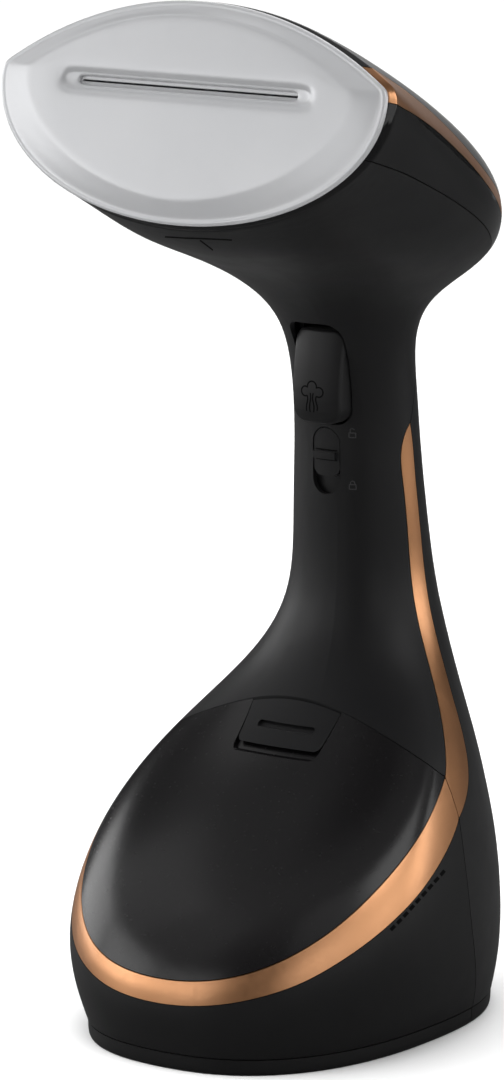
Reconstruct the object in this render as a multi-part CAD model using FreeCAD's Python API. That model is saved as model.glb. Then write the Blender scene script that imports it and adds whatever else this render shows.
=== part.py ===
import FreeCAD, Part
import os, math
from FreeCAD import Vector, Matrix, Placement

os.makedirs("parts", exist_ok=True)

# ------------------------------------------------------------------
# Driving dimensions, millimetres.  +Z up, front of the steamer is -Y,
# floor at Z = 0.  Y_SHIFT centres the finished bounding box on Y = 0 and
# Z_SHIFT puts the underside of the feet (drawn at -2) on the floor.
# ------------------------------------------------------------------
Y_SHIFT = 37.05
Z_SHIFT = 2.0
WALL = 2.2            # housing wall
SEAM = 0.3            # seam width between fixed mouldings
DOCK_GAP = 0.4        # gap between tank and body
FOOT_TOP = 3.7
FOOT_BOTTOM = -2.0
SKIN_BOTTOM = 4.3
NU, NV = 34, 32       # control net of the outer skin

# stations of the outer skin: parameter, front point (Y,Z), rear point (Y,Z),
# half width, widest place (0 rear .. 1 front), front exponent, rear exponent, lens blend
STATIONS = [
    (0.00, (-122.6, SKIN_BOTTOM), (40.7, SKIN_BOTTOM), 63.0, .450, 2.40, 2.35, 0.0),
    (0.20, (-126.6, 20.0), (45.2, 20.0), 70.0, .550, 2.15, 2.30, 0.0),
    (0.40, (-120.0, 38.0), (47.0, 38.0), 72.3, .605, 2.15, 2.20, 0.0),
    (0.60, (-105.7, 57.0), (47.0, 57.0), 70.4, .667, 2.12, 2.20, 0.0),
    (0.80, (-82.5, 76.0), (44.0, 76.0), 65.8, .730, 2.10, 2.15, 0.0),
    (1.00, (-51.5, 95.0), (39.9, 95.0), 58.0, .790, 2.05, 2.10, 0.0),
    (1.20, (-35.8, 113.0), (36.1, 113.0), 45.3, 0.670, 2.00, 2.05, 0.0),
    (1.40, (-23.0, 133.0), (35.6, 133.0), 31.9, 0.530, 2.00, 2.00, 0.0),
    (1.60, (-17.9, 155.0), (31.2, 154.9), 25.8, 0.490, 2.00, 2.00, 0.0),
    (1.80, (-17.9, 178.0), (26.3, 178.0), 25.5, 0.500, 2.00, 2.00, 0.0),
    (2.00, (-17.8, 201.0), (23.1, 201.0), 23.7, 0.500, 2.00, 2.00, 0.0),
    (2.20, (-19.0, 222.0), (21.3, 222.0), 23.5, 0.500, 2.00, 2.00, 0.0),
    (2.40, (-22.4, 240.0), (18.3, 240.9), 23.3, 0.512, 2.05, 2.00, 0.0),
    (2.60, (-34.6, 256.5), (26.6, 259.0), 28.8, 0.478, 2.05, 2.00, 0.0),
    (2.80, (-56.2, 270.2), (47.0, 269.6), 52.1, 0.450, 2.00, 2.00, 0.0),
    (3.00, (-83.9, 278.6), (43.9, 296.7), 66.0, 0.480, 2.00, 2.00, 0.1),
    (3.20, (-95.8, 283.3), (15.0, 321.3), 69.7, 0.485, 2.00, 2.00, 0.3),
    (3.40, (-102.0, 287.0), (-19.5, 340.1), 74.2, 0.465, 2.00, 2.00, 0.55),
    (3.60, (-105.5, 289.6), (-53.7, 355.6), 78.1, 0.435, 2.00, 2.00, 0.8),
    (3.80, (-108.0, 291.4), (-81.8, 366.3), 81.4, .395, 2.00, 2.00, 1.0),
    (3.90, (-108.8, 292.0), (-91.2, 368.8), 82.5, .385, 2.00, 2.00, 1.0),
]

# side-view seam curves (Y, Z)
C_TRIM_UP = [(-135, 361.5), (-105, 353), (-90, 349), (-78.9, 345), (-66.7, 340.3), (-56.4, 335), (-46, 328.8),
             (-30, 318.5), (-15, 308.5), (0, 299.5), (15, 291), (30, 283), (65, 266)]
C_TRIM_LOW = [(-135, 352.5), (-110, 344), (-96.2, 338.8), (-84.9, 335.2), (-71.1, 330.4), (-56.7, 324.7), (-43.8, 318.6),
              (-30.4, 311.8), (-21.5, 306.6), (-11.1, 300.3), (0.2, 293.3), (15, 284.2), (30, 275.4), (65, 256)]
C_BAND_LOW = [(-135, 330), (-115, 324.2), (-100.7, 319.7), (-88.5, 316.3), (-78, 313.1), (-63.4, 308), (-48.2, 302.4),
              (-34.1, 296.7), (-21.8, 291.4), (-10.6, 286.2), (1.8, 279.8), (15, 272.2), (30, 263.5), (65, 244)]
C_NECK = [(1.4, 210.9), (5.4, 222.5), (10.2, 235), (16.6, 248), (24.5, 260), (31.0, 268.5)]
C_STRIP_F = [(1.4, 211.4), (-2.1, 206.5), (-3.4, 201.0), (-2.9, 191.1), (-1.5, 176.4), (-0.6, 161.7), (-0.7, 147.4),
             (-2.7, 133.7), (-7.5, 120.7), (-13.6, 110), (-19.8, 101), (-24.4, 95.1), (-28.6, 90.9)]
C_STRIP_R = [(1.3, 211.4), (2.6, 204.9), (3.6, 193.9), (5.4, 175.4), (6.8, 160.6), (6.8, 142.6), (4.3, 127.2),
             (-0.3, 112.6), (-3.9, 101.2), (-7.0, 93.4), (-11.2, 87.1), (-17.6, 81.7), (-27.0, 76.6)]
C_RING_IN = [(-27.2, 92.1), (-34.8, 87.2), (-48.5, 79.0), (-64.3, 69.0), (-78.6, 59.3), (-89.9, 51.3), (-101.9, 43.0),
             (-111.1, 36.9), (-117.7, 32.9), (-121.5, 30.8), (-140, 22)]
C_RING_OUT = [(-25.6, 77.4), (-36.6, 70.0), (-52.7, 61.6), (-70.2, 52.4), (-83.1, 45.0), (-93.4, 38.9), (-104.7, 32.1),
              (-113.4, 27.5), (-119.9, 24.2), (-124.5, 21.9), (-140, 15)]
C_JOIN = [(-28.0, 92.3), (-26.2, 76.2)]
C_SPLIT = [(-26.2, 77.4), (-27.6, 66.1), (-28.0, 51.9), (-26.3, 37), (-21.9, 24.7), (-16.9, 13.8), (-13.4, 5.0), (-12.6, 1.5)]
C_TANK_TOP = [(-27.4, 91.6), (-31.5, 94.6), (-34.4, 98.6), (-35.3, 104), (-35.3, 114.4)]
TANK_TOP_Z = 114.4
# the dividing line between tank and body used for the inner walls (Y, Z), top to bottom
DOCK_LINE = [(-35.3, 116.5), (-35.3, 98.5), (-28.5, 91.5), (-26.4, 78), (-28.2, 66), (-28.2, 52), (-26.5, 37),
             (-22.2, 24.7), (-16.9, 13.8), (-13.5, FOOT_TOP)]

# steam plate frame: origin and axes (X, U up the plate, N out of the plate)
PLATE_O = (0.0, -98.1, 338.7)
PLATE_U = (0.0, 0.2234, 0.97473)
PLATE_N = (0.0, -0.97473, 0.2234)
PLATE_HALF_W, PLATE_LOW, PLATE_HIGH = 80.6, 46.9, 30.3
SLOT_HALF, SLOT_HALF_H = 45.0, 1.35

# controls
TRIG_HALF_W, TRIG_BOTTOM, TRIG_TOP = 10.2, 212.2, 246.2
TRIG_CAP_LOW, TRIG_CAP_HIGH = 10.0, 10.7          # half widths of the cap, bottom and top
TRIG_PIN = (-13.0, 243.2)
PIN_R = 1.5
SLIDER_HALF_W, SLIDER_LOW, SLIDER_HIGH = 5.5, 192.4, 209.9
SLOT2_HALF_W, SLOT2_LOW, SLOT2_HIGH = 5.9, 185.7, 210.3
LATCH_TOP_HALF, LATCH_BOT_HALF, LATCH_LOW = 19.4, 17.6, 98.9
LATCH_GAP_LOW = 96.1
CORD_Z, CORD_R = 24.0, 3.6


# ------------------------------------------------------------------ helpers
def pchip(xk, yk, x):
    n = len(xk)
    h = [xk[i + 1] - xk[i] for i in range(n - 1)]
    d = [(yk[i + 1] - yk[i]) / h[i] for i in range(n - 1)]
    m = [0.0] * n
    for i in range(1, n - 1):
        if d[i - 1] * d[i] > 0:
            w1 = 2 * h[i] + h[i - 1]
            w2 = h[i] + 2 * h[i - 1]
            m[i] = (w1 + w2) / (w1 / d[i - 1] + w2 / d[i])

    def end(h0, h1, d0, d1):
        v = ((2 * h0 + h1) * d0 - h0 * d1) / (h0 + h1)
        if v * d0 <= 0:
            return 0.0
        if d0 * d1 < 0 and abs(v) > abs(3 * d0):
            return 3 * d0
        return v
    m[0] = end(h[0], h[1], d[0], d[1])
    m[-1] = end(h[-1], h[-2], d[-1], d[-2])
    i = 0
    while i < n - 2 and x > xk[i + 1]:
        i += 1
    t = (x - xk[i]) / h[i]
    return ((1 + 2 * t) * (1 - t) ** 2 * yk[i] + t * (1 - t) ** 2 * h[i] * m[i]
            + t * t * (3 - 2 * t) * yk[i + 1] + t * t * (t - 1) * h[i] * m[i + 1])


def columns():
    u0, u1 = STATIONS[0][0], STATIONS[-1][0]
    keys = [[s[0], s[1][0], s[1][1], s[2][0], s[2][1], s[3], s[4], s[5], s[6], s[7]] for s in STATIONS]
    xk = [k[0] for k in keys]
    us = [u0 + (u1 - u0) * i / (NU - 1.0) for i in range(NU)]
    cols = []
    for j in range(1, 10):
        yk = [k[j] for k in keys]
        c = [pchip(xk, yk, u) for u in us]
        c = [c[0]] + [(c[i - 1] + 2 * c[i] + c[i + 1]) / 4.0 for i in range(1, NU - 1)] + [c[-1]]
        cols.append(c)
    return cols


COLS = columns()


def sgnpow(v, e):
    return math.copysign(abs(v) ** e, v) if v != 0 else 0.0


def section_xv(t, a, ef, er, nf, nr, lens, lens_ratio=1.062):
    s, c = math.sin(t), math.cos(t)
    if abs(c) < 1e-12:
        c = 0.0
    n = nf if c >= 0 else nr
    e = ef if c >= 0 else er
    x = sgnpow(s, 2.0 / n) * a
    v = sgnpow(c, 2.0 / n) * e
    if lens > 0 and c < 0:
        av = a * lens_ratio
        r = (av * av + er * er) / (2 * er)
        xl = a * s
        vl = -(math.sqrt(max(r * r - xl * xl, 0.0)) - (r - er))
        x = (1 - lens) * x + lens * xl
        v = (1 - lens) * v + lens * vl
    return x, v


def row_points(F, R, C, a, nf, nr, lens):
    """one closed row of control points; F and R are (Y,Z), C the widest place on F-R"""
    L = math.hypot(F[0] - R[0], F[1] - R[1])
    d = ((F[0] - R[0]) / L, (F[1] - R[1]) / L)
    er = math.hypot(C[0] - R[0], C[1] - R[1])
    ef = L - er
    pts = []
    for j in range(NV):
        t = 2 * math.pi * j / NV
        x, v = section_xv(t, a, ef, er, nf, nr, lens)
        pts.append(Vector(x, C[0] + v * d[0], C[1] + v * d[1]))
    return pts


def skin_rows(t, lip=0.0):
    """control rows of the skin moved inwards by t"""
    fy, fz, ry, rz, a, c, nf, nr, ln = COLS
    rows = []
    meta = []
    for i in range(NU):
        F = (fy[i], fz[i])
        R = (ry[i], rz[i])
        i0, i1 = max(i - 1, 0), min(i + 1, NU - 1)
        L = math.hypot(F[0] - R[0], F[1] - R[1])
        d = ((F[0] - R[0]) / L, (F[1] - R[1]) / L)
        C = (R[0] + d[0] * L * c[i], R[1] + d[1] * L * c[i])

        def grow(p, q):
            tx, tz = q[0] - p[0], q[1] - p[1]
            l = math.hypot(tx, tz)
            s = abs(tx / l * d[1] - tz / l * d[0])
            return 1.0 / max(s, 0.42)
        kf = grow((fy[i0], fz[i0]), (fy[i1], fz[i1]))
        kr = grow((ry[i0], rz[i0]), (ry[i1], rz[i1]))
        cm0 = ((fy[i0] + ry[i0]) / 2, (fz[i0] + rz[i0]) / 2)
        cm1 = ((fy[i1] + ry[i1]) / 2, (fz[i1] + rz[i1]) / 2)
        ds = math.hypot(cm1[0] - cm0[0], cm1[1] - cm0[1])
        ka = math.sqrt(1 + ((a[i1] - a[i0]) / ds) ** 2)
        Fi = (F[0] - d[0] * t * kf, F[1] - d[1] * t * kf)
        Ri = (R[0] + d[0] * t * kr, R[1] + d[1] * t * kr)
        rows.append((Fi, Ri, C, a[i] - t * ka, nf[i], nr[i], ln[i]))
    return rows


def bspline_solid(rows):
    nu = len(rows)
    nv = len(rows[0])
    bs = Part.BSplineSurface()
    uk = [float(k) for k in range(nu - 2)]
    um = [4] + [1] * (nu - 4) + [4]
    vk = [float(k) for k in range(nv + 1)]
    vm = [1] * (nv + 1)
    bs.buildFromPolesMultsKnots(rows, um, vm, uk, vk, False, True, 3, 3)
    face = bs.toShape()
    closed = [e for e in face.Edges if e.isClosed() and e.Length > 1.0]
    caps = [Part.Face(Part.Wire([e])) for e in closed]
    sh = Part.Shell([face] + caps)
    sh.sewShape()
    sol = Part.Solid(sh)
    if sol.Volume < 0:
        sol.reverse()
    return sol


def skin_solid(t, extend=0.0, lip=True):
    data = skin_rows(t)
    rows = [row_points(*r) for r in data]
    last = data[-1]
    F, R = last[0], last[1]
    L = math.hypot(F[0] - R[0], F[1] - R[1])
    d = ((F[0] - R[0]) / L, (F[1] - R[1]) / L)
    n = (d[1], -d[0])            # out of the plate opening
    if n[0] > 0:
        n = (-n[0], -n[1])

    def end_row(inset, shift):
        Fi = (F[0] - d[0] * inset + n[0] * shift, F[1] - d[1] * inset + n[1] * shift)
        Ri = (R[0] + d[0] * inset + n[0] * shift, R[1] + d[1] * inset + n[1] * shift)
        C = (last[2][0] + n[0] * shift, last[2][1] + n[1] * shift)
        return row_points(Fi, Ri, C, last[3] - inset, last[4], last[5], last[6])
    if extend > 0:
        rows = [[Vector(p.x, p.y, p.z - extend) for p in rows[0]],
                [Vector(p.x, p.y, p.z - extend * 0.5) for p in rows[0]]] + rows
        rows += [end_row(0.0, extend * 0.5), end_row(0.0, extend)]
    elif lip:
        rows = rows[:-1] + [end_row(0.0, -1.6), end_row(0.1, -1.1), end_row(0.45, -0.7), end_row(1.4, 0.25),
                            end_row(1.75, 0.7), end_row(2.0, 0.8)]
    return bspline_solid(rows)


def off_curve(pts, w):
    out = []
    n = len(pts)
    for i in range(n):
        p0 = pts[max(i - 1, 0)]
        p1 = pts[min(i + 1, n - 1)]
        ty, tz = p1[0] - p0[0], p1[1] - p0[1]
        l = math.hypot(ty, tz)
        out.append((pts[i][0] - tz / l * w, pts[i][1] + ty / l * w))
    return out


def yz_edge(pts):
    v = [Vector(0, p[0], p[1]) for p in pts]
    if len(v) == 2:
        return Part.LineSegment(v[0], v[1]).toShape()
    b = Part.BSplineCurve()
    b.interpolate(v)
    return b.toShape()


def knife(pts, w, x0=-125.0, x1=125.0):
    A = off_curve(pts, w / 2.0)
    B = list(reversed(off_curve(pts, -w / 2.0)))
    edges = [yz_edge(A), yz_edge([A[-1], B[0]]), yz_edge(B), yz_edge([B[-1], A[0]])]
    f = Part.Face(Part.Wire(edges))
    f.translate(Vector(x0, 0, 0))
    return f.extrude(Vector(x1 - x0, 0, 0))


def yz_poly(pts, x0, x1):
    v = [Vector(x0, p[0], p[1]) for p in pts]
    f = Part.Face(Part.makePolygon(v + [v[0]]))
    return f.extrude(Vector(x1 - x0, 0, 0))


def xz_poly(pts, y0, y1):
    v = [Vector(p[0], y0, p[1]) for p in pts]
    f = Part.Face(Part.makePolygon(v + [v[0]]))
    return f.extrude(Vector(0, y1 - y0, 0))


def xz_round(pts, radii, y0, y1):
    """polygon in X,Z with rounded corners, drawn out from y0 to y1"""
    n = len(pts)
    ins, outs, mids = [], [], []
    for i in range(n):
        p = pts[i]
        a, b = pts[i - 1], pts[(i + 1) % n]
        r = radii[i]
        ux, uz = a[0] - p[0], a[1] - p[1]
        vx, vz = b[0] - p[0], b[1] - p[1]
        lu, lv = math.hypot(ux, uz), math.hypot(vx, vz)
        ux, uz, vx, vz = ux / lu, uz / lu, vx / lv, vz / lv
        if r <= 0:
            ins.append(p)
            outs.append(p)
            mids.append(None)
            continue
        half = math.acos(max(-1, min(1, ux * vx + uz * vz))) / 2
        d = r / math.tan(half)
        bx, bz = ux + vx, uz + vz
        lb_ = math.hypot(bx, bz)
        h = r / math.sin(half)
        cx, cz = p[0] + bx / lb_ * h, p[1] + bz / lb_ * h
        ins.append((p[0] + ux * d, p[1] + uz * d))
        outs.append((p[0] + vx * d, p[1] + vz * d))
        mids.append((cx - bx / lb_ * r, cz - bz / lb_ * r))
    edges = []
    for i in range(n):
        if mids[i] is not None:
            edges.append(Part.Arc(Vector(ins[i][0], y0, ins[i][1]), Vector(mids[i][0], y0, mids[i][1]),
                                  Vector(outs[i][0], y0, outs[i][1])).toShape())
        q0, q1 = outs[i], ins[(i + 1) % n]
        if math.hypot(q0[0] - q1[0], q0[1] - q1[1]) > 1e-4:
            edges.append(Part.LineSegment(Vector(q0[0], y0, q0[1]), Vector(q1[0], y0, q1[1])).toShape())
    return Part.Face(Part.Wire(edges)).extrude(Vector(0, y1 - y0, 0))


def rounded_xz(x0, x1, z0, z1, r, y0, y1):
    b = Part.makeBox(x1 - x0, y1 - y0, z1 - z0, Vector(x0, y0, z0))
    es = [e for e in b.Edges if abs(e.Vertexes[0].Point.x - e.Vertexes[1].Point.x) < 1e-6
          and abs(e.Vertexes[0].Point.z - e.Vertexes[1].Point.z) < 1e-6]
    return b.makeFillet(r, es)


def cyl(r, p0, p1):
    a, b = Vector(*p0), Vector(*p1)
    return Part.makeCylinder(r, (b - a).Length, a, b - a)


def box(x0, x1, y0, y1, z0, z1):
    return Part.makeBox(x1 - x0, y1 - y0, z1 - z0, Vector(x0, y0, z0))


def rbox(x0, x1, y0, y1, z0, z1, r):
    b = box(x0, x1, y0, y1, z0, z1)
    return b.makeFillet(r, b.Edges)


def tube(pts, r):
    b = Part.BSplineCurve()
    b.interpolate([Vector(*p) for p in pts])
    e = b.toShape()
    t = e.tangentAt(e.FirstParameter)
    c = Part.Wire(Part.makeCircle(r, Vector(*pts[0]), t))
    return Part.Wire([e]).makePipeShell([c], True, True)


def to_plate(shape):
    m = Matrix(1, PLATE_U[0], PLATE_N[0], PLATE_O[0],
               0, PLATE_U[1], PLATE_N[1], PLATE_O[1],
               0, PLATE_U[2], PLATE_N[2], PLATE_O[2],
               0, 0, 0, 1)
    s = shape.copy()
    s.Placement = Placement(m)
    return s


def plate_row(inset, n, scale=1.0, kx=1.0):
    pts = []
    for j in range(48):
        t = 2 * math.pi * j / 48
        x, v = section_xv(t, (PLATE_HALF_W - inset * kx) * scale, (PLATE_LOW - inset) * scale,
                          (PLATE_HIGH - inset) * scale, 2.03, 2.0, 1.0)
        pts.append(Vector(x, -v, n))
    return pts


def stadium(hx, hy, n):
    r = hy
    a = Vector(-(hx - r), hy, n)
    b = Vector(hx - r, hy, n)
    c = Vector(hx - r, -hy, n)
    d = Vector(-(hx - r), -hy, n)
    return Part.Wire([Part.LineSegment(a, b).toShape(),
                      Part.Arc(b, Vector(hx, 0, n), c).toShape(),
                      Part.LineSegment(c, d).toShape(),
                      Part.Arc(d, Vector(-hx, 0, n), a).toShape()])


def helix_spring(R, wire, pitch, height, base, axis):
    h = Part.makeHelix(pitch, height, R)
    c = Part.Wire(Part.makeCircle(wire, Vector(R, 0, 0), Vector(0, 1, 0)))
    s = Part.Wire(h.Edges).makePipeShell([c], True, True)
    s.Placement = Placement(Vector(*base), FreeCAD.Rotation(Vector(0, 0, 1), Vector(*axis)))
    return s


NODES = {}


def add(name, shape):
    NODES[name] = shape


# ------------------------------------------------------------------ skin and shells
OUTER = skin_solid(0.0)
INNER = skin_solid(WALL, extend=14.0)
SHELL = OUTER.cut(INNER)

knives = [knife(C_TRIM_UP, SEAM), knife(C_TRIM_LOW, SEAM), knife(C_BAND_LOW, SEAM), knife(C_NECK, SEAM),
          knife(C_STRIP_F, SEAM), knife(C_STRIP_R, SEAM), knife(C_RING_IN, SEAM), knife(C_RING_OUT, SEAM),
          knife(C_JOIN, DOCK_GAP), knife(C_SPLIT, DOCK_GAP), knife(C_TANK_TOP, DOCK_GAP),
          box(-125, 125, -140, -35.1, TANK_TOP_Z - DOCK_GAP / 2, TANK_TOP_Z + DOCK_GAP / 2)]
CUT = SHELL.cut(knives)
pieces = sorted(CUT.Solids, key=lambda s: -s.Volume)
print("pieces", len(pieces), [round(p.Volume) for p in pieces])


def pick(pt):
    v = Part.Vertex(Vector(*pt))
    best = min(pieces, key=lambda s: s.distToShape(v)[0])
    print("pick", pt, round(best.Volume), round(best.distToShape(v)[0], 2))
    return best


top_panel = pick((0, -60, 358))
trim = pick((73, -72, 337))
band = pick((72, -70, 322))
front_housing = pick((0, -17, 178))
rear_housing = pick((0, 25, 178))
strip_r = pick((25.0, 1.5, 175))
strip_l = pick((-25.0, 1.5, 175))
dome = pick((0, -82, 76))
ring = pick((0, -124, 26))
skirt = pick((0, -125, 14))

# ------------------------------------------------------------------ cut-outs in the shells
trig_hole = xz_round([(-TRIG_CAP_LOW - 0.5, TRIG_BOTTOM - 0.9), (TRIG_CAP_LOW + 0.5, TRIG_BOTTOM - 0.9),
                      (TRIG_CAP_HIGH + 0.6, TRIG_TOP + 3.0), (-TRIG_CAP_HIGH - 0.6, TRIG_TOP + 3.0)],
                     [6.4, 6.4, 5.2, 5.2], -45, 0)
slider_hole = rounded_xz(-SLOT2_HALF_W, SLOT2_HALF_W, SLOT2_LOW, SLOT2_HIGH, SLOT2_HALF_W - 0.01, -45, 0)
front_housing = front_housing.cut([trig_hole, slider_hole])

lt, lb = LATCH_TOP_HALF, LATCH_BOT_HALF
gap_lower = xz_round([(-lb - 0.35, LATCH_GAP_LOW), (lb + 0.35, LATCH_GAP_LOW), (lt + 0.4, TANK_TOP_Z + 3), (-lt - 0.4, TANK_TOP_Z + 3)],
                     [2.6, 2.6, 0, 0], -80, -35.0)
ledge = gap_lower.cut(skin_solid(1.7)).common(box(-30, 30, -80, -30, 90, 100.2))
latch_hole = gap_lower.common(box(-30, 30, -80, -30, 99.8, 130))
dome = dome.cut([latch_hole, ledge])
dome = max(dome.Solids, key=lambda q: q.Volume)

# cord inlet hole through the rear wall
rear_housing = rear_housing.cut(cyl(7.0, (0, 30, CORD_Z), (0, 60, CORD_Z)))

add("head_top_panel", top_panel)
add("head_trim", trim)
add("head_band", band)
add("front_housing", front_housing)
add("rear_housing", rear_housing)
add("handle_trim_right", strip_r)
add("handle_trim_left", strip_l)
add("tank_dome", dome)
add("tank_ring", ring)
add("tank_skirt", skirt)

# ------------------------------------------------------------------ inner walls
body_side = [(p[0] + 1.0, p[1]) for p in DOCK_LINE]
body_wall = body_side + [(p[0] + 2.0, p[1]) for p in reversed(body_side)]
bay_wall = yz_poly(body_wall, -90, 90).common(INNER)
bay_wall = bay_wall.cut([box(-6.8, 6.8, -40, -28, 101.2, 107.5), cyl(7.0, (0, -40, 18), (0, 0, 18)),
                         cyl(12.0, (0, -40, 70), (0, -20, 70))])
add("bay_wall", bay_wall)

tank_low = [p for p in DOCK_LINE if p[1] < 91] + []
tank_side = [(-31.2, 94.0)] + [(p[0] - 1.0, p[1]) for p in tank_low]
tank_wall_pts = tank_side + [(p[0] - 2.0, p[1]) for p in reversed(tank_side)]
tank_back = yz_poly(tank_wall_pts, -90, 90).fuse(box(-90, 90, -80, -31.2, 92.4, 94.4)).common(INNER)
tank_back = tank_back.removeSplitter()
tank_back = tank_back.cut([cyl(6.0, (0, -40, 18), (0, 0, 18)), cyl(9.0, (0, -40, 70), (0, -20, 70))])
add("tank_back", tank_back)

floor_all = INNER.common(box(-90, 90, -140, 60, FOOT_TOP, FOOT_TOP + 2.2))
tank_floor = floor_all.common(box(-90, 90, -140, -18.4, 0, 20))
base_plate = floor_all.common(box(-90, 90, -10.4, 60, 0, 20))
screw_xy = [(-42, 2), (42, 2), (-22, 22), (22, 22)]
screw_holes = [cyl(1.5, (x, y, -1), (x, y, 12)) for x, y in screw_xy]
base_plate = base_plate.cut(screw_holes)
add("tank_floor", tank_floor)

# ------------------------------------------------------------------ feet
r0 = skin_rows(0.0)[0]


def foot_row(inset, z):
    F, R, C, a, nf, nr, ln = r0
    return row_points((F[0] + inset, z), (R[0] - inset, z), (C[0], z), a - inset, nf, nr, ln)


foot = bspline_solid([foot_row(2.0, FOOT_BOTTOM), foot_row(1.2, FOOT_BOTTOM), foot_row(0.7, FOOT_BOTTOM + 0.4),
                      foot_row(0.4, FOOT_BOTTOM + 1.4), foot_row(0.3, 1.6), foot_row(0.3, FOOT_TOP)])
pocket = bspline_solid([foot_row(9.5, -4), foot_row(9.5, -3), foot_row(9.5, -0.5), foot_row(9.8, 1.6)])
foot = foot.cut(pocket)
tank_foot = foot.common(box(-90, 90, -140, -13.5 - DOCK_GAP / 2, -3, 10))
rear_foot = foot.common(box(-90, 90, -13.5 + DOCK_GAP / 2, 60, -3, 10)).cut(screw_holes)
add("tank_foot", tank_foot)
add("rear_foot", rear_foot)
add("base_plate", base_plate)
screws = [cyl(1.45, (x, y, 1.1), (x, y, 9.1)).fuse(cyl(3.0, (x, y, -0.5), (x, y, 1.55))) for x, y in screw_xy]
add("base_screws", Part.makeCompound(screws))

# ------------------------------------------------------------------ steam plate and boiler (plate frame)
rows = [plate_row(6.0, -5.0), plate_row(4.8, -5.0), plate_row(4.2, -3.5), plate_row(4.0, -1.0), plate_row(3.9, 0.95),
        plate_row(2.0, 1.15), plate_row(0.4, 1.2), plate_row(-0.1, 1.7), plate_row(0.0, 2.5), plate_row(0.6, 3.1),
        plate_row(1.4, 3.4, 1.0, 1.1), plate_row(2.6, 3.85, 1.0, 1.2), plate_row(5.6, 5.0, 1.0, 1.35),
        plate_row(7.0, 5.5, 1.0, 1.4), plate_row(8.2, 5.75, 1.0, 1.4), plate_row(11.0, 5.9, 1.0, 1.3),
        plate_row(4, 6.0, .78), plate_row(3, 6.1, .60), plate_row(2, 6.15, .44), plate_row(1, 6.2, .27),
        plate_row(0, 6.2, .14), plate_row(0, 6.2, .06)]
plate = bspline_solid(rows)
trough = Part.makeLoft([stadium(51.0, 2.9, 4.9), stadium(54.6, 5.4, 7.5)], True, True)
slot = Part.Face(stadium(SLOT_HALF, SLOT_HALF_H, -8)).extrude(Vector(0, 0, 20))
SCREW_P = [(0, -28.8), (0, 12.3), (-61.5, -2), (61.5, -2)]
pholes = [cyl(1.5, (x, v, -30), (x, v, -2.9)) for x, v in SCREW_P]
plate = plate.cut([trough, slot] + pholes)


def plate_slab(inset, n0, n1):
    return bspline_solid([plate_row(inset, n0), plate_row(inset, n0 + (n1 - n0) / 3.0),
                          plate_row(inset, n0 + (n1 - n0) * 2 / 3.0), plate_row(inset, n1)])


gasket = plate_slab(0.5, -2.6, 0.5).cut(plate)
chamber = plate_slab(14, -22, -5.6).cut([plate_slab(22, -18, -4)] + pholes)
chamber_gasket = plate_slab(15, -5.6, -5.0).cut([plate_slab(21, -7, -4)] + pholes)
cover = plate_slab(14, -24.2, -22).cut(pholes)
path_o = [Vector(-30, -16, -12), Vector(30, -16, -12), Vector(36.5, -9.5, -12), Vector(30, -3, -12),
          Vector(-30, -3, -12), Vector(-36.5, -9.5, -12)]
hw = Part.Wire([Part.LineSegment(path_o[0], path_o[1]).toShape(), Part.Arc(path_o[1], path_o[2], path_o[3]).toShape(),
                Part.LineSegment(path_o[3], path_o[4]).toShape(), Part.Arc(path_o[4], path_o[5], path_o[0]).toShape()])
ring_c = Part.Wire(Part.makeCircle(3.2, Vector(-30, -16, -12), Vector(1, 0, 0)))
heater = hw.makePipeShell([ring_c], True, True)
thermostat = cyl(9.0, (26, -6, -31), (26, -6, -24.2)).fuse(cyl(5.0, (26, -6, -36), (26, -6, -31)))
fuse_ = box(-38, -14, -12, -2, -27, -24.2).fuse(cyl(2.6, (-36, -7, -28.5), (-16, -7, -28.5)))
pscrews = [cyl(1.45, (x, v, -24.6), (x, v, -3.2)).fuse(cyl(3.0, (x, v, -26.4), (x, v, -24.2))) for x, v in SCREW_P]
add("soleplate", to_plate(plate))
gasket_world = to_plate(gasket).common(skin_solid(WALL + 0.35, extend=14.0)).cut(skin_solid(WALL + 2.2, extend=14.0))
gasket_world = gasket_world.cut(to_plate(plate_slab(3.9, -4, 2)))
print("gasket solids", [round(q.Volume) for q in gasket_world.Solids])
add("plate_gasket", max(gasket_world.Solids, key=lambda q: q.Volume))
add("steam_chamber", to_plate(chamber))
add("chamber_gasket", to_plate(chamber_gasket))
add("chamber_cover", to_plate(cover))
add("heating_element", to_plate(heater))
add("thermostat", to_plate(thermostat))
add("thermal_fuse", to_plate(fuse_))
add("plate_screws", Part.makeCompound([to_plate(s) for s in pscrews]))

# ------------------------------------------------------------------ trigger, cradle, switch
py, pz = TRIG_PIN
prof = [(-23.6, TRIG_BOTTOM), (-25.0, TRIG_BOTTOM + 1.4), (-25.8, TRIG_BOTTOM + 4.0), (-26.0, 221), (-25.8, 228),
        (-25.0, 235), (-24.0, 240), (-22.9, TRIG_TOP), (-16.4, TRIG_TOP), (-16.4, 238.8), (-12.4, 238.8), (-12.4, TRIG_BOTTOM)]
trig = yz_poly(prof, -13, 13)
shape_xz = xz_round([(-TRIG_CAP_LOW, TRIG_BOTTOM), (TRIG_CAP_LOW, TRIG_BOTTOM), (TRIG_CAP_HIGH, TRIG_TOP), (-TRIG_CAP_HIGH, TRIG_TOP)],
                    [6.0, 6.0, 4.6, 4.6], -60, 20)
trig = trig.common(shape_xz).common(box(-13, 13, -40, -17.4, 200, 260).fuse(box(-9.9, 9.9, -17.4, 0, 200, 260)))
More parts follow.
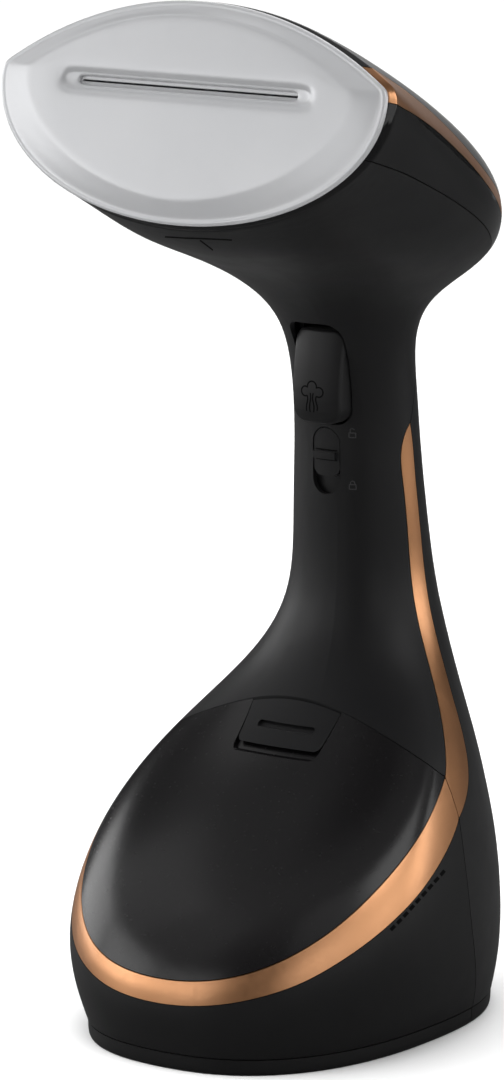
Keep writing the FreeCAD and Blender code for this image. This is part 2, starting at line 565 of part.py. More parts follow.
for sx in (-1, 1):                      # long edges of the trigger cap, cut back in three flats
    for k, (ex, ey) in enumerate([(1.2, 3.4), (2.3, 1.9), (4.0, 0.8)]):
        p = [Vector(sx * (TRIG_CAP_LOW - ex), -26.9, 200), Vector(sx * (TRIG_CAP_LOW + 0.6), -26.3 + ey, 200),
             Vector(sx * (TRIG_CAP_LOW + 0.6), -40, 200), Vector(sx * (TRIG_CAP_LOW - ex), -40, 200)]
        q = [Vector(v.x + sx * (TRIG_CAP_HIGH - TRIG_CAP_LOW) * 60 / (TRIG_TOP - TRIG_BOTTOM), v.y + 3.2, 260) for v in p]
        wa, wb = Part.makePolygon(p + [p[0]]), Part.makePolygon(q + [q[0]])
        trig = trig.cut(Part.makeLoft([wa, wb], True, True))
hub = cyl(3.6, (-9.6, py, pz), (9.6, py, pz)).common(box(-12, 12, -20, -9, 238, 244.4 + 2))
trig = trig.fuse(hub).fuse(box(-9.6, 9.6, -18, -12.4, 238, 243))
hollow = box(-7.8, 7.8, -21.6, -12.0, TRIG_BOTTOM + 3, 236)
post = box(-3, 3, -22.0, -12.4, 216, 222)
trig = trig.cut(hollow).fuse(post)
trig = trig.cut([cyl(PIN_R + 0.06, (-30, py, pz), (30, py, pz)), box(-5.2, 5.2, py - 4.5, 0, 238.6, 250)])
trig = trig.removeSplitter()
add("trigger", trig)
add("trigger_pin", cyl(PIN_R, (-13.0, py, pz), (13.0, py, pz)))
add("trigger_spring", helix_spring(2.3, 0.35, 0.9, 7.2, (-3.6, py, pz), (1, 0, 0)))

side = [(-15.8, 239.4), (-15.8, 247.2), (8.0, 247.2), (8.0, 212), (-7.5, 212), (-7.5, 237)]
cradle = yz_poly(side, 10.9, 12.7).fuse(yz_poly(side, -12.7, -10.9)).fuse(box(-10.9, 10.9, 6.0, 8.0, 212, 247.2))
cradle = cradle.fuse(box(-10.9, 10.9, -6.6, 6.0, 212, 213.6)).removeSplitter()
cradle = cradle.cut(cyl(PIN_R + 0.01, (-30, py, pz), (30, py, pz)))
add("trigger_cradle", cradle)
sw = box(-5, 5, -6.4, 4.0, 214.6, 224.0).fuse(box(-5, 5, -6.4, 4.0, 213.6, 214.6)).removeSplitter()
sw = sw.cut(cyl(1.25, (0, -8, 219), (0, -1, 219)))
add("switch_body", sw)
add("switch_plunger", cyl(1.2, (0, -11.95, 219), (0, -4.2, 219)))

# ------------------------------------------------------------------ lock slider
cap_shape = xz_round([(-SLIDER_HALF_W, SLIDER_LOW), (SLIDER_HALF_W, SLIDER_LOW), (SLIDER_HALF_W, SLIDER_HIGH),
                      (-SLIDER_HALF_W, SLIDER_HIGH)], [3.4, 3.4, 5.45, 5.45], -40, -12.0)
face_solid = skin_solid(0.30).cut(skin_solid(3.3)).common(cap_shape)
face_solid = max(face_solid.Solids, key=lambda q: q.Volume)
ridge = skin_solid(-1.1).cut(skin_solid(1.5)).common(box(-4.9, 4.3, -40, -12.0, 198.7, 201.4))
flange = skin_solid(2.8).cut(skin_solid(4.0)).common(rounded_xz(-7.6, 7.6, 184.0, 210.6, 3.0, -40, -10.0))
flange = max(flange.Solids, key=lambda q: q.Volume)
slider = face_solid.fuse([ridge, flange]).removeSplitter()
print("slider solids", len(slider.Solids))
add("lock_slider", slider)

# ------------------------------------------------------------------ tank latch
latch_skin = OUTER.cut(skin_solid(2.8)).common(
    xz_round([(-lb, LATCH_LOW), (lb, LATCH_LOW), (lt, TANK_TOP_Z - 0.35), (-lt, TANK_TOP_Z - 0.35)], [2.3, 2.3, 0, 0], -80, -35.8))
latch_skin = max(latch_skin.Solids, key=lambda s: s.Volume)
latch_skin = latch_skin.cut(skin_solid(0.65).common(box(-30, 30, -80, -30, 90, 102.7)))
hook = box(-6, 6, -52, -29.9, 103.9, 106.6).common(skin_solid(0.8)).fuse(box(-6, 6, -31.8, -29.9, 103.9, 108.3))
groove = rounded_xz(-12.2, 12.2, 103.7, 105.9, 1.0, -70, -37).common(OUTER).cut(skin_solid(1.4))
latch = latch_skin.fuse(hook).cut(groove)
latch = max(latch.Solids, key=lambda s: s.Volume)
add("tank_latch", latch)
add("latch_spring", helix_spring(2.4, 0.4, 1.25, 7.0, (0, -41.0, 95.0), (0, 0, 1)))

# ------------------------------------------------------------------ tank fittings
valve = cyl(5.9, (0, -27.0, 18), (0, -22.8, 18)).fuse(cyl(8.6, (0, -29.8, 18), (0, -27.0, 18))).fuse(
    cyl(3.5, (0, -33.0, 18), (0, -13.2, 18)))
valve = valve.cut(cyl(1.8, (0, -40, 18), (0, 0, 18))).removeSplitter()
add("tank_valve", valve)
vs = cyl(8.0, (0, -27.0, 18), (0, -20.5, 18)).cut(cyl(6.0, (0, -28, 18), (0, -19.0, 18))).cut(tank_back)
vs = min(vs.Solids, key=lambda s: s.CenterOfMass.y)
add("valve_seal", vs)
plug = cyl(9.0, (0, -33.6, 70), (0, -28.0, 70)).cut(box(-6, 6, -29.6, -27, 68.8, 71.2))
add("filler_plug", plug)
clear_of_tank = yz_poly([(p[0] - 0.5, p[1]) for p in DOCK_LINE if p[1] < 60] + [(40, FOOT_TOP), (40, 52)], -20, 20)
dock_seal = cyl(6.98, (0, -24.0, 18), (0, -12.2, 18)).cut(cyl(3.9, (0, -40, 18), (0, 0, 18))).common(clear_of_tank)
add("dock_seal", dock_seal)

# ------------------------------------------------------------------ pump, hoses, electrics
pump = cyl(14.5, (0, 8, 42), (0, 8, 74)).fuse(cyl(10.0, (0, 8, 74), (0, 8, 80))).fuse(cyl(4.0, (0, 8, 80), (0, 8, 88)))
pump = pump.fuse(cyl(3.8, (0, 8, 36.0), (0, 8, 42)))
add("pump", pump.removeSplitter())
bracket = box(-20, 20, -8, 24, 38.5, 41.9).cut(cyl(4.2, (0, 8, 30), (0, 8, 50)))
for bx in (-17, 17):
    for by in (-4, 20):
        bracket = bracket.fuse(cyl(2.6, (bx, by, FOOT_TOP + 2.2), (bx, by, 38.5)))
add("pump_bracket", bracket.removeSplitter())
hose = tube([(0, -12.0, 18), (0, -5, 18.2), (0, 3, 21), (0, 7, 27), (0, 8, 35.6)], 3.4)
add("water_hose", hose)
steam = tube([(0, 8, 88.0), (0, 9, 105), (0, 12, 135), (0, 13.4, 165), (0, 12.8, 195), (0, 12.2, 215), (0, 12.2, 238),
              (0, 6, 258), (0, -14, 281), (0, -42, 303), (0, -62, 315.5), (0, -74.9, 322.5)], 2.4)
steam = steam.cut(to_plate(plate_slab(10, -24.2, -10)))
steam = max(steam.Solids, key=lambda s: s.Volume)
add("steam_tube", steam)
pcb = box(-24, 24, 29.0, 30.6, 26, 74).fuse([box(-18, -4, 24.0, 29.0, 50, 68), box(2, 16, 25.0, 29.0, 34, 44),
                                             cyl(4.0, (10, 30.6, 60), (10, 21.5, 60)), box(-16, -8, 25.5, 29.0, 32, 42)])
add("circuit_board", pcb.removeSplitter())
standoffs = []
for sx in (-20, 20):
    standoffs.append(box(sx - 2, sx + 2, 29.0, 33.0, FOOT_TOP + 2.2, 26))
add("board_posts", Part.makeCompound(standoffs))
tb = box(22, 42, 6, 18, FOOT_TOP + 2.2, 20).cut([cyl(2.2, (x, 0, 14), (x, 40, 14)) for x in (26, 32, 38)])
add("terminal_block", tb)
gland = cyl(7.0, (0, 38, CORD_Z), (0, 46.5, CORD_Z)).fuse(cyl(9.0, (0, 36.0, CORD_Z), (0, 39.5, CORD_Z)))
gl_out = Part.makeCone(6.9, 5.6, 6.0, Vector(0, 45.0, CORD_Z), Vector(0, 1, 0))
gland = gland.fuse(gl_out).cut(cyl(CORD_R, (0, 20, CORD_Z), (0, 70, CORD_Z))).removeSplitter()
add("cord_gland", gland)

# ------------------------------------------------------------------ export
bb = None
for name in sorted(NODES):
    s = NODES[name]
    s.translate(Vector(0, Y_SHIFT, Z_SHIFT))
    sols = s.Solids
    ok = s.isValid()
    b = s.BoundBox
    print("%-20s solids %d valid %s vol %9.1f  X %.1f..%.1f Y %.1f..%.1f Z %.1f..%.1f" % (
        name, len(sols), ok, sum(q.Volume for q in sols), b.XMin, b.XMax, b.YMin, b.YMax, b.ZMin, b.ZMax))
    out = sols[0] if len(sols) == 1 else Part.makeCompound(sols)
    out.exportStep("parts/" + name + ".step")
    if bb is None:
        bb = b
    else:
        bb.add(b)
front = min(v.y for v in NODES["tank_skirt"].tessellate(0.05)[0])
front = min(front, min(v.y for v in NODES["soleplate"].tessellate(0.1)[0]), min(v.y for v in NODES["tank_ring"].tessellate(0.1)[0]))
back = max(v.y for v in NODES["cord_gland"].tessellate(0.05)[0])
print("front %.3f back %.3f" % (front, back))
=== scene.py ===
import bpy
import math
import numpy as np
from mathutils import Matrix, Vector
from mathutils.bvhtree import BVHTree


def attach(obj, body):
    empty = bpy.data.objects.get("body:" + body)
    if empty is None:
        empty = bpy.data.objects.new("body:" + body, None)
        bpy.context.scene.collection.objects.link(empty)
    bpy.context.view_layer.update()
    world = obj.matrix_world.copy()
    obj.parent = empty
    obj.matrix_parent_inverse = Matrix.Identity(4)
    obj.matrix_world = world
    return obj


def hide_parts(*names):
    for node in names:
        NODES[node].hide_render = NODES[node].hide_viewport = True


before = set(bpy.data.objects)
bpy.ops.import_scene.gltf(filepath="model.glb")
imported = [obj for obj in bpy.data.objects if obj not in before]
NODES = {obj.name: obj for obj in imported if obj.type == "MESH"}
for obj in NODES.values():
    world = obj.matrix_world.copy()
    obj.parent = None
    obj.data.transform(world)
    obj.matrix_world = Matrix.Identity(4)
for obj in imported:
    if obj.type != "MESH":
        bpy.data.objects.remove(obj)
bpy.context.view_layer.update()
MM = 0.001
Y_SHIFT = 37.05
Z_SHIFT = 2.0


# ------------------------------------------------------------------ material kit
class Mat:
    """a principled material built from object-space procedural nodes"""

    def __init__(self, name):
        self.m = bpy.data.materials.new(name)
        self.m.use_nodes = True
        self.t = self.m.node_tree
        self.b = next(n for n in self.t.nodes if n.type == "BSDF_PRINCIPLED")
        self.tc = self.t.nodes.new("ShaderNodeTexCoord")
        self.normal = None

    def node(self, kind, **kw):
        n = self.t.nodes.new(kind)
        for k, v in kw.items():
            setattr(n, k, v)
        return n

    def link(self, a, b):
        self.t.links.new(a, b)

    def set(self, **kw):
        names = {"rough": "Roughness", "metal": "Metallic", "ior": "IOR", "spec": "Specular IOR Level",
                 "coat": "Coat Weight", "coat_rough": "Coat Roughness", "sheen": "Sheen Weight",
                 "sheen_rough": "Sheen Roughness", "trans": "Transmission Weight", "aniso": "Anisotropic",
                 "color": "Base Color", "alpha": "Alpha", "sss": "Subsurface Weight", "coat_ior": "Coat IOR"}
        for k, v in kw.items():
            s = self.b.inputs[names[k]]
            s.default_value = (v[0], v[1], v[2], 1.0) if k == "color" else v
        return self

    def noise(self, scale, detail=3.0, rough=0.55, dims="3D", stretch=None, distortion=0.0):
        n = self.node("ShaderNodeTexNoise")
        n.noise_dimensions = dims
        n.inputs["Scale"].default_value = scale
        n.inputs["Detail"].default_value = detail
        n.inputs["Roughness"].default_value = rough
        n.inputs["Distortion"].default_value = distortion
        if stretch:
            mp = self.node("ShaderNodeMapping")
            mp.inputs["Scale"].default_value = stretch
            self.link(self.tc.outputs["Object"], mp.inputs["Vector"])
            self.link(mp.outputs["Vector"], n.inputs["Vector"])
        else:
            self.link(self.tc.outputs["Object"], n.inputs["Vector"])
        return n.outputs["Fac"]

    def voronoi(self, scale, feature="F1"):
        n = self.node("ShaderNodeTexVoronoi")
        n.feature = feature
        n.inputs["Scale"].default_value = scale
        self.link(self.tc.outputs["Object"], n.inputs["Vector"])
        return n.outputs["Distance"]

    def ramp(self, fac, stops):
        r = self.node("ShaderNodeValToRGB")
        e = r.color_ramp.elements
        while len(e) < len(stops):
            e.new(0.5)
        for k, (p, c) in enumerate(stops):
            e[k].position = p
            e[k].color = (c[0], c[1], c[2], 1.0) if isinstance(c, (tuple, list)) else (c, c, c, 1.0)
        self.link(fac, r.inputs["Fac"])
        return r.outputs["Color"]

    def remap(self, fac, a0, a1, b0, b1):
        r = self.node("ShaderNodeMapRange")
        for k, v in (("From Min", a0), ("From Max", a1), ("To Min", b0), ("To Max", b1)):
            r.inputs[k].default_value = v
        self.link(fac, r.inputs["Value"])
        return r.outputs["Result"]

    def colour(self, sock):
        self.link(sock, self.b.inputs["Base Color"])
        return self

    def roughness(self, sock):
        self.link(sock, self.b.inputs["Roughness"])
        return self

    def bump(self, sock, strength, distance):
        n = self.node("ShaderNodeBump")
        n.inputs["Strength"].default_value = strength
        n.inputs["Distance"].default_value = distance
        self.link(sock, n.inputs["Height"])
        if self.normal is not None:
            self.link(self.normal, n.inputs["Normal"])
        self.normal = n.outputs["Normal"]
        self.link(self.normal, self.b.inputs["Normal"])
        return self


def matte_black():
    m = Mat("soft_touch_black")
    m.set(spec=0.27, sheen=0.03, sheen_rough=0.5)
    m.colour(m.ramp(m.noise(14.0, 4.0), [(0.30, (0.0040, 0.0040, 0.0044)), (0.72, (0.0062, 0.0060, 0.0064))]))
    m.roughness(m.remap(m.noise(60.0, 3.0), 0.3, 0.7, 0.40, 0.47))
    m.bump(m.noise(2600.0, 2.0, 0.6), 0.22, 0.00006)
    m.bump(m.noise(9000.0, 1.0, 0.5), 0.20, 0.00003)
    return m.m


def gloss_black():
    m = Mat("gloss_black")
    m.set(spec=0.38, coat=0.22, coat_rough=0.06, coat_ior=1.5)
    m.colour(m.ramp(m.noise(22.0, 3.0), [(0.3, (0.0026, 0.0026, 0.0028)), (0.7, (0.0040, 0.0040, 0.0042))]))
    m.roughness(m.remap(m.noise(90.0, 3.0), 0.3, 0.7, 0.075, 0.115))
    m.bump(m.noise(55.0, 2.0, 0.5), 0.05, 0.0008)
    return m.m


def copper():
    m = Mat("copper_satin")
    m.set(metal=1.0, aniso=0.2, coat=0.40, coat_rough=0.26, coat_ior=1.5)
    m.colour(m.ramp(m.noise(9.0, 4.0, 0.55), [(0.25, (0.700, 0.335, 0.155)), (0.55, (0.740, 0.362, 0.172)),
                                                (0.80, (0.780, 0.395, 0.200))]))
    m.roughness(m.remap(m.noise(700.0, 3.0), 0.3, 0.7, 0.31, 0.39))
    m.bump(m.noise(3600.0, 2.0, 0.6), 0.30, 0.00005)
    m.bump(m.voronoi(1900.0), 0.12, 0.00004)
    return m.m


def enamel():
    m = Mat("plate_enamel")
    m.set(metal=0.42, spec=0.5, coat=0.35, coat_rough=0.16, coat_ior=1.5)
    m.colour(m.ramp(m.noise(18.0, 4.0, 0.5), [(0.3, (0.420, 0.424, 0.436)), (0.7, (0.448, 0.451, 0.461))]))
    m.roughness(m.remap(m.noise(900.0, 1.0), 0.0, 1.0, 0.28, 0.33))
    m.bump(m.noise(16.0, 0.0, 0.5), 0.04, 0.0010)
    return m.m


def smoke():
    m = Mat("smoke_clear")
    m.set(spec=0.34, trans=0.22, ior=1.5, coat=0.16, coat_rough=0.20, coat_ior=1.45)
    m.colour(m.ramp(m.noise(8.0, 3.0, 0.5), [(0.3, (0.0030, 0.0027, 0.0031)), (0.7, (0.0052, 0.0046, 0.0050))]))
    m.roughness(m.remap(m.noise(700.0, 1.0), 0.0, 1.0, 0.23, 0.29))
    m.bump(m.noise(14.0, 0.0, 0.5), 0.04, 0.0012)
    return m.m


def skirt():
    m = Mat("skirt_black")
    m.set(spec=0.27, sheen=0.02, sheen_rough=0.5)
    m.colour(m.ramp(m.noise(12.0, 4.0), [(0.3, (0.0036, 0.0036, 0.0038)), (0.72, (0.0054, 0.0052, 0.0055))]))
    m.roughness(m.remap(m.noise(50.0, 3.0), 0.3, 0.7, 0.38, 0.45))
    m.bump(m.noise(2400.0, 2.0, 0.6), 0.22, 0.00006)
    m.bump(m.noise(8000.0, 1.0, 0.5), 0.18, 0.00003)
    return m.m


def rubber(name="soft_rubber", tone=0.010):
    m = Mat(name)
    m.set(spec=0.30)
    m.colour(m.ramp(m.noise(30.0, 4.0), [(0.3, (tone, tone, tone * 1.05)), (0.7, (tone * 1.5, tone * 1.48, tone * 1.5))]))
    m.roughness(m.remap(m.noise(150.0, 3.0), 0.3, 0.7, 0.55, 0.68))
    m.bump(m.noise(1800.0, 3.0, 0.6), 0.30, 0.00008)
    return m.m


def cast():
    m = Mat("cast_alloy")
    m.set(metal=0.9)
    m.colour(m.ramp(m.noise(40.0, 4.0), [(0.3, (0.38, 0.385, 0.40)), (0.7, (0.50, 0.50, 0.51))]))
    m.roughness(m.remap(m.noise(400.0, 3.0), 0.3, 0.7, 0.42, 0.60))
    m.bump(m.noise(1400.0, 3.0, 0.6), 0.5, 0.00012)
    return m.m


def steel():
    m = Mat("steel")
    m.set(metal=1.0, aniso=0.3)
    m.colour(m.ramp(m.noise(60.0, 4.0), [(0.3, (0.55, 0.55, 0.56)), (0.7, (0.66, 0.66, 0.67))]))
    m.roughness(m.remap(m.noise(700.0, 3.0, stretch=(1, 1, 8)), 0.3, 0.7, 0.20, 0.32))
    m.bump(m.noise(2500.0, 2.0, 0.6), 0.2, 0.00004)
    return m.m


def inner_plastic():
    m = Mat("inner_plastic")
    m.set(spec=0.45)
    m.colour(m.ramp(m.noise(26.0, 4.0), [(0.3, (0.016, 0.016, 0.017)), (0.7, (0.024, 0.024, 0.025))]))
    m.roughness(m.remap(m.noise(120.0, 3.0), 0.3, 0.7, 0.38, 0.5))
    m.bump(m.noise(1500.0, 3.0, 0.6), 0.25, 0.00008)
    return m.m


def board_green():
    m = Mat("board_green")
    m.set(spec=0.5)
    m.colour(m.ramp(m.voronoi(260.0), [(0.2, (0.010, 0.060, 0.028)), (0.5, (0.014, 0.085, 0.040))]))
    m.roughness(m.remap(m.noise(300.0, 3.0), 0.3, 0.7, 0.25, 0.4))
    m.bump(m.voronoi(420.0), 0.2, 0.00008)
    return m.m


def hose_clear():
    m = Mat("hose_clear")
    m.set(spec=0.5, trans=0.45, ior=1.43)
    m.colour(m.ramp(m.noise(50.0, 3.0), [(0.3, (0.62, 0.63, 0.62)), (0.7, (0.74, 0.75, 0.74))]))
    m.roughness(m.remap(m.noise(200.0, 3.0), 0.3, 0.7, 0.2, 0.3))
    m.bump(m.noise(500.0, 3.0, 0.6), 0.2, 0.0001)
    return m.m


# painted shade: near-black, dull lines that stand in for the shadow inside moulded grooves, slits and ridge edges
def painted_shade_line():
    m = Mat("painted_shade_line")
    m.set(spec=0.08)
    m.colour(m.ramp(m.noise(60.0, 3.0), [(0.3, (0.0008, 0.0008, 0.0009)), (0.7, (0.0014, 0.0014, 0.0015))]))
    m.roughness(m.remap(m.noise(300.0, 3.0), 0.3, 0.7, 0.70, 0.85))
    m.bump(m.noise(2000.0, 3.0, 0.6), 0.2, 0.00004)
    return m.m


def printed_grey():
    m = Mat("printed_grey")
    m.set(spec=0.30)
    m.colour(m.ramp(m.noise(60.0, 3.0), [(0.3, (0.020, 0.020, 0.021)), (0.7, (0.030, 0.030, 0.031))]))
    m.roughness(m.remap(m.noise(300.0, 3.0), 0.3, 0.7, 0.50, 0.65))
    m.bump(m.noise(2000.0, 3.0, 0.6), 0.2, 0.00004)
    return m.m


MATERIALS = {
    "painted_shade_line": painted_shade_line(), "printed_grey": printed_grey(),
    "matte_black": matte_black(), "gloss_black": gloss_black(), "copper_trim": copper(), "plate_enamel": enamel(),
    "smoke_clear": smoke(), "skirt_black": skirt(), "soft_rubber": rubber(), "cast_alloy": cast(), "steel": steel(),
    "inner_plastic": inner_plastic(), "board_green": board_green(), "hose_clear": hose_clear(),
}
NODE_MAT = {
    "head_top_panel": "gloss_black", "head_trim": "copper_trim", "head_band": "gloss_black",
    "front_housing": "matte_black", "rear_housing": "matte_black", "handle_trim_left": "copper_trim",
    "handle_trim_right": "copper_trim", "tank_dome": "smoke_clear", "tank_ring": "copper_trim",
    "tank_skirt": "skirt_black", "tank_latch": "matte_black", "trigger": "matte_black", "lock_slider": "matte_black",
    "soleplate": "plate_enamel", "plate_gasket": "soft_rubber", "tank_foot": "skirt_black", "rear_foot": "skirt_black",
    "cord_gland": "soft_rubber", "steam_chamber": "cast_alloy", "chamber_cover": "cast_alloy",
    "chamber_gasket": "soft_rubber", "heating_element": "steel", "thermostat": "steel", "thermal_fuse": "inner_plastic",
    "plate_screws": "steel", "base_screws": "steel", "trigger_pin": "steel", "trigger_spring": "steel",
    "latch_spring": "steel", "trigger_cradle": "inner_plastic", "switch_body": "inner_plastic",
    "switch_plunger": "inner_plastic", "bay_wall": "inner_plastic", "tank_back": "smoke_clear",
    "tank_floor": "smoke_clear", "base_plate": "inner_plastic", "board_posts": "inner_plastic",
    "circuit_board": "board_green", "pump": "inner_plastic", "pump_bracket": "inner_plastic",
    "terminal_block": "inner_plastic", "steam_tube": "hose_clear", "water_hose": "hose_clear",
    "tank_valve": "inner_plastic", "valve_seal": "soft_rubber", "dock_seal": "soft_rubber",
    "filler_plug": "soft_rubber",
}
for name, ob in NODES.items():
    ob.data.materials.clear()
    ob.data.materials.append(MATERIALS[NODE_MAT[name]])


# ------------------------------------------------------------------ mesh helpers
def new_object(name, verts, faces, mat, body, smooth=True):
    me = bpy.data.meshes.new(name)
    me.from_pydata([tuple(v) for v in verts], [], faces)
    me.validate()
    me.update()
    if smooth:
        me.shade_smooth()
    ob = bpy.data.objects.new(name, me)
    bpy.context.scene.collection.objects.link(ob)
    me.materials.append(mat)
    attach(ob, body)
    return ob


def grid_faces(rows, n, closed_rows=False):
    """quads between consecutive closed loops of n points"""
    out = []
    last = rows if closed_rows else rows - 1
    for i in range(last):
        a, b = i * n, ((i + 1) % rows) * n
        for j in range(n):
            k = (j + 1) % n
            out.append((a + j, a + k, b + k, b + j))
    return out


def sgnpow(v, e):
    return np.sign(v) * np.abs(v) ** e


def closed_spline(P, per):
    """periodic uniform cubic through control points P, per samples a span"""
    out = []
    n = len(P)
    for i in range(n):
        p0, p1, p2, p3 = P[i - 1], P[i], P[(i + 1) % n], P[(i + 2) % n]
        for k in range(per):
            t = k / per
            out.append(((1 - t) ** 3 * p0 + (3 * t ** 3 - 6 * t ** 2 + 4) * p1
                        + (-3 * t ** 3 + 3 * t ** 2 + 3 * t + 1) * p2 + t ** 3 * p3) / 6.0)
    return np.array(out)


# ------------------------------------------------------------------ steam plate
PLATE_O = np.array((0.0, -98.1 + Y_SHIFT, 338.7 + Z_SHIFT))
PLATE_U = np.array((0.0, 0.2234, 0.97473))
PLATE_N = np.array((0.0, -0.97473, 0.2234))
PLATE_HALF_W, PLATE_LOW, PLATE_HIGH = 80.6, 46.9, 30.2


def plate_loop(inset, kx=1.0, ktop=1.0, p=2.03):
    t = 2 * math.pi * np.arange(48) / 48
    s, c = np.sin(t), np.cos(t)
    c[np.abs(c) < 1e-12] = 0.0
    a, ef, er = PLATE_HALF_W - inset * kx, PLATE_LOW - inset, PLATE_HIGH - inset * ktop
    low = c >= 0
    x = np.where(low, sgnpow(s, 2 / p) * a, a * s)
    av = a * 1.062
    r = (av * av + er * er) / (2 * er)
    v = np.where(low, sgnpow(c, 2 / p) * ef, -(np.sqrt(np.maximum(r * r - (a * s) ** 2, 0)) - (r - er)))
    return closed_spline(np.stack([x, -v], 1), 8)


def build_plate():
    ref = plate_loop(0.0)
    n = len(ref)
    sx = ref[:, 0] / np.abs(ref[:, 0]).max()
    up = np.where(ref[:, 1] > ref[np.argmax(ref[:, 0]), 1], 1.0, -1.0)

    def stadium(hx, hy):
        return np.stack([hx * sx, up * hy * np.sqrt(np.maximum(1 - np.abs(sx) ** (2 * hx / hy), 0))], 1)

    rows = []
    for z in (-5.0, -3.0, 0.0, 2.4, 2.9):
        rows.append((stadium(45.0, 0.30), z))
    for hx, hy, z in ((45.05, 0.36, 3.02), (45.15, 0.55, 3.06), (45.4, 1.2, 3.08), (45.6, 1.56, 3.14), (45.7, 1.66, 3.26)):
        rows.append((stadium(hx, hy), z))
    for z in (3.5, 3.8, 4.2):
        rows.append((stadium(45.7, 1.70), z))
    for hx, hy, z in ((45.8, 1.76, 4.42), (46.05, 1.88, 4.62), (46.7, 2.10, 4.74), (48.4, 2.42, 4.80), (49.9, 2.66, 4.86),
                      (50.8, 2.90, 5.00), (51.4, 3.20, 5.27), (51.9, 3.55, 5.58), (52.5, 3.95, 5.86), (53.2, 4.45, 6.05),
                      (54.2, 5.2, 6.16), (55.6, 6.3, 6.20), (57.5, 8.0, 6.21)):
        rows.append((stadium(hx, hy), z))
    inner, outer = stadium(57.5, 8.0), plate_loop(12.0, 1.42, 0.72, 1.80)
    for w in (0.12, 0.25, 0.4, 0.55, 0.7, 0.84, 0.94):
        rows.append((inner * (1 - w) + outer * w, 6.21 - 0.06 * w * w))
    prof = [(12.0, 1.42, 0.72, 1.80, 6.15), (10.4, 1.46, 0.70, 1.79, 6.13), (9.3, 1.50, 0.68, 1.78, 6.09),
            (8.6, 1.52, 0.66, 1.77, 6.02), (8.0, 1.53, 0.66, 1.77, 5.90), (7.4, 1.52, 0.67, 1.78, 5.70),
            (6.6, 1.49, 0.70, 1.81, 5.36), (5.6, 1.44, 0.76, 1.86, 4.92), (4.6, 1.36, 0.83, 1.92, 4.46),
            (3.7, 1.27, 0.90, 1.97, 4.03), (2.95, 1.18, 0.96, 2.00, 3.68), (2.4, 1.12, 1.0, 2.02, 3.47),
            (2.05, 1.08, 1.0, 2.03, 3.38), (1.7, 1.05, 1.0, 2.03, 3.36), (1.35, 1.03, 1.0, 2.03, 3.42),
            (1.0, 1.0, 1.0, 2.03, 3.44), (0.65, 1.0, 1.0, 2.03, 3.34), (0.35, 1.0, 1.0, 2.03, 3.14),
            (0.12, 1.0, 1.0, 2.03, 2.84), (0.0, 1.0, 1.0, 2.03, 2.5), (-0.02, 1.0, 1.0, 2.03, 2.1),
            (0.04, 1.0, 1.0, 2.03, 1.75), (0.2, 1.0, 1.0, 2.03, 1.45), (0.5, 1.0, 1.0, 2.03, 1.25),
            (1.0, 1.0, 1.0, 2.03, 1.16), (2.2, 1.0, 1.0, 2.03, 1.1), (3.7, 1.0, 1.0, 2.03, 1.02),
            (3.95, 1.0, 1.0, 2.03, 0.6), (4.0, 1.0, 1.0, 2.03, -1.0), (4.3, 1.0, 1.0, 2.03, -3.6),
            (4.9, 1.0, 1.0, 2.03, -4.8), (6.0, 1.0, 1.0, 2.03, -5.0)]
    for inset, kx, ktop, p, z in prof:
        rows.append((plate_loop(inset, kx, ktop, p), z))
    back = plate_loop(6.0)
    for w in (0.35, 0.7):
        rows.append((back * (1 - w) + stadium(45.0, 0.42) * w, -5.0))
    verts = []
    for loop, z in rows:
        for x, u in loop:
            verts.append((PLATE_O + PLATE_U * u + PLATE_N * z + np.array((x, 0, 0))) * MM)
    faces = grid_faces(len(rows), n, closed_rows=True)
    ob = new_object("steam_plate_face", verts, faces, MATERIALS["plate_enamel"], "main_body")
    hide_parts("soleplate")
    return ob


plate = build_plate()


# ------------------------------------------------------------------ trigger cap
TB, TT = 212.2, 246.2
TRIG_FACE = [(212.2, -23.5), (213.2, -24.6), (214.6, -25.3), (217.0, -25.85), (221.0, -26.1), (225.0, -26.05), (228.0, -25.85),
             (232.0, -25.45), (236.0, -24.9), (240.0, -24.2), (244.0, -23.4), (246.2, -22.95)]
ROUND_LOW, ROUND_HIGH, EDGE_R = 6.0, 4.6, 1.0


def trig_half(z):
    w = 10.0 + 0.65 * (z - TB) / (TT - TB)
    for dz, r in ((z - TB, ROUND_LOW), (TT - z, ROUND_HIGH)):
        if dz < r:
            w -= r - math.sqrt(max(r * r - (r - dz) ** 2, 0.0))
    return w


def trig_depth(x, z):
    """distance from the cap's outline, inwards"""
    w = 10.0 + 0.65 * (z - TB) / (TT - TB)
    r = ROUND_LOW if z < 0.5 * (TB + TT) else ROUND_HIGH
    mid, half = 0.5 * (TB + TT), 0.5 * (TT - TB)
    qx, qz = abs(x) - w + r, abs(z - mid) - half + r
    outside = math.hypot(max(qx, 0.0), max(qz, 0.0))
    return -(outside + min(max(qx, qz), 0.0) - r)


def trig_y(x, z, crown=1.75):
    zs, ys = [p[0] for p in TRIG_FACE], [p[1] for p in TRIG_FACE]
    y = float(np.interp(z, zs, ys)) + crown * (abs(x) / 9.6) ** 2.3
    d = max(trig_depth(x, z), 0.0)
    if d < EDGE_R:
        y += EDGE_R - math.sqrt(max(EDGE_R ** 2 - (EDGE_R - d) ** 2, 0.0))
    return y


